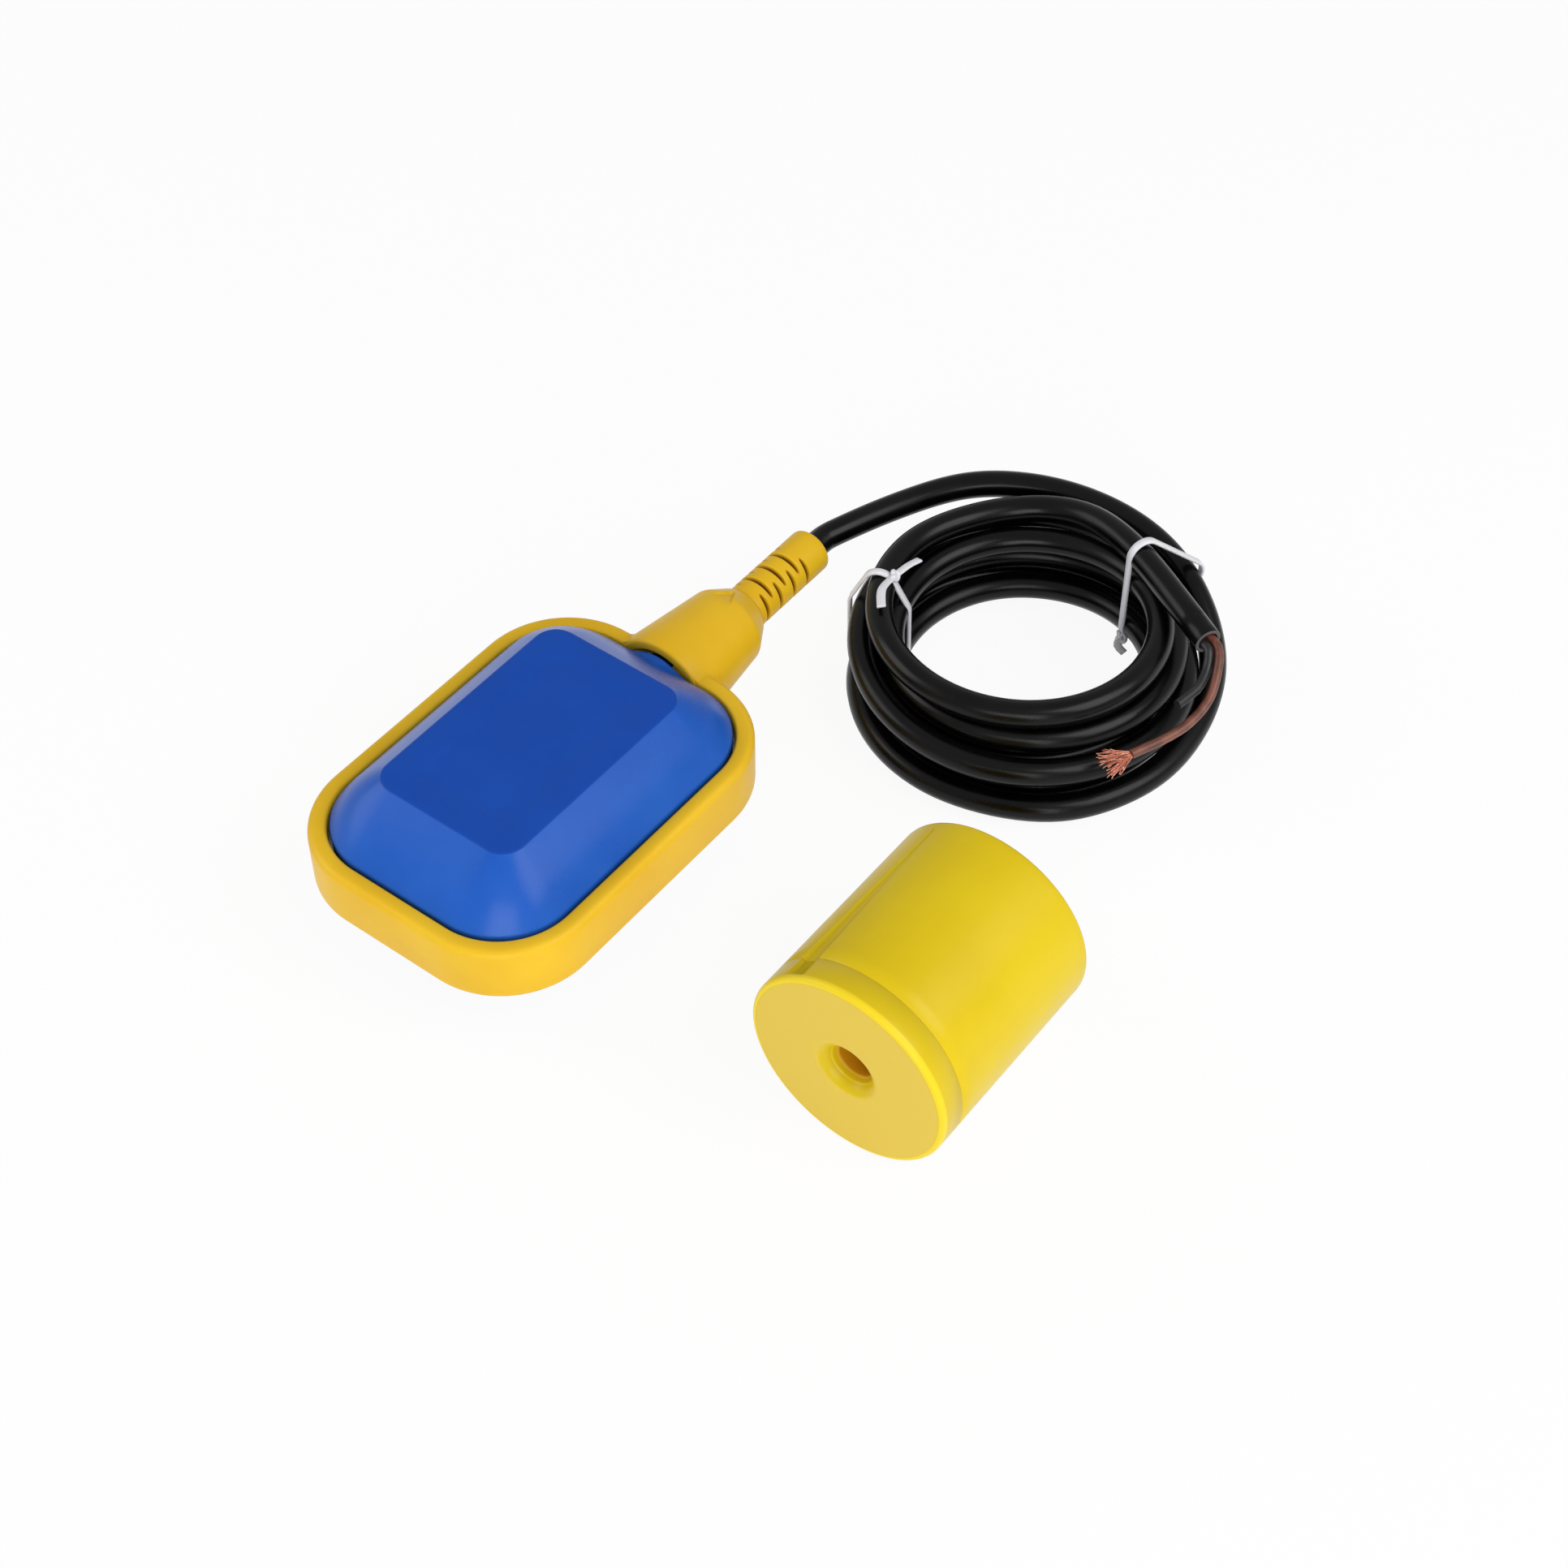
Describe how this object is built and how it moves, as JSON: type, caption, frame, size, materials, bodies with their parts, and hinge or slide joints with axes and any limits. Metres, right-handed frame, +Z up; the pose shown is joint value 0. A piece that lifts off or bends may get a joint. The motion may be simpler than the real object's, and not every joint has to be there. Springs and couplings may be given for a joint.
{
  "type": "tethered float switch",
  "caption": "Sealed float with a rolling ball switch inside, its tied coil of cable with a stripped end, and a loose counterweight that threads onto the cable.",
  "frame": {"origin": "middle of the float's lower flat panel, on the plane the float rests on", "axes": "+X along the float's long axis, from its closed end to the neck and cable; +Y to the left of that, away from the coil and counterweight; +Z up"},
  "size_m": [0.231, 0.1805, 0.054],
  "materials": {
    "shell_blue": "satin moulded",
    "band_yellow": "satin moulded",
    "seal_rubber": "matte",
    "zinced_steel": "bright",
    "cable_sheath": "dull",
    "core_brown": "smooth",
    "core_black": "smooth",
    "copper": "bare strands",
    "tray_plastic": "plain",
    "ball_steel": "polished",
    "switch_case": "plain",
    "plunger_red": "plain",
    "contact_brass": "bright",
    "tie_white": "soft",
    "weight_yellow": "satin moulded",
    "ballast": "rough mineral filling"
  },
  "bodies": {
    "float": {"upper_shell": "shell_blue", "lower_shell": "shell_blue", "float_band": "band_yellow", "strain_relief_boot": "band_yellow", "seal_grommet": "seal_rubber", "grommet_washer": "zinced_steel", "neck_cable": "cable_sheath", "cable_clamp": "tray_plastic", "clamp_screws": "zinced_steel", "lead_brown": "core_brown", "lead_black": "core_black", "switch_carrier": "tray_plastic", "carrier_screws": "zinced_steel", "race_cover": "tray_plastic", "lever_pin": "zinced_steel", "microswitch_case": "switch_case", "microswitch_cover": "switch_case", "snap_blade": "contact_brass", "switch_terminals": "contact_brass", "switch_screws": "zinced_steel", "float_cable": "cable_sheath", "cable_coil": "cable_sheath", "brown_conductor": "core_brown", "black_conductor": "core_black", "copper_strands": "copper", "left_tie": "tie_white", "right_tie": "tie_white", "weight_shell": "weight_yellow", "weight_cap": "weight_yellow", "ballast_core": "ballast", "cable_grip": "weight_yellow"},
    "ball": {"steel_ball": "ball_steel"},
    "lever": {"switch_lever": "zinced_steel"},
    "plunger": {"switch_plunger": "plunger_red"}
  },
  "joints": [
    {"name": "ball_roll", "type": "slide", "parent": "float", "child": "ball", "axis": [1, 0, 0], "range_m": [0, 0.016]},
    {"name": "lever_tilt", "type": "hinge", "parent": "float", "child": "lever", "pos_m": [0.00139, 0.011, 0.022], "axis": [0, 0, 1], "range_deg": [0, 10]},
    {"name": "plunger_press", "type": "slide", "parent": "float", "child": "plunger", "axis": [1, 0, 0], "range_m": [0, 0.0012]}
  ],
  "couplings": [
    {"joint": "lever_tilt", "follows": "ball_roll", "rad_per_m": 10.9},
    {"joint": "plunger_press", "follows": "ball_roll", "ratio": 0.0728}
  ]
}
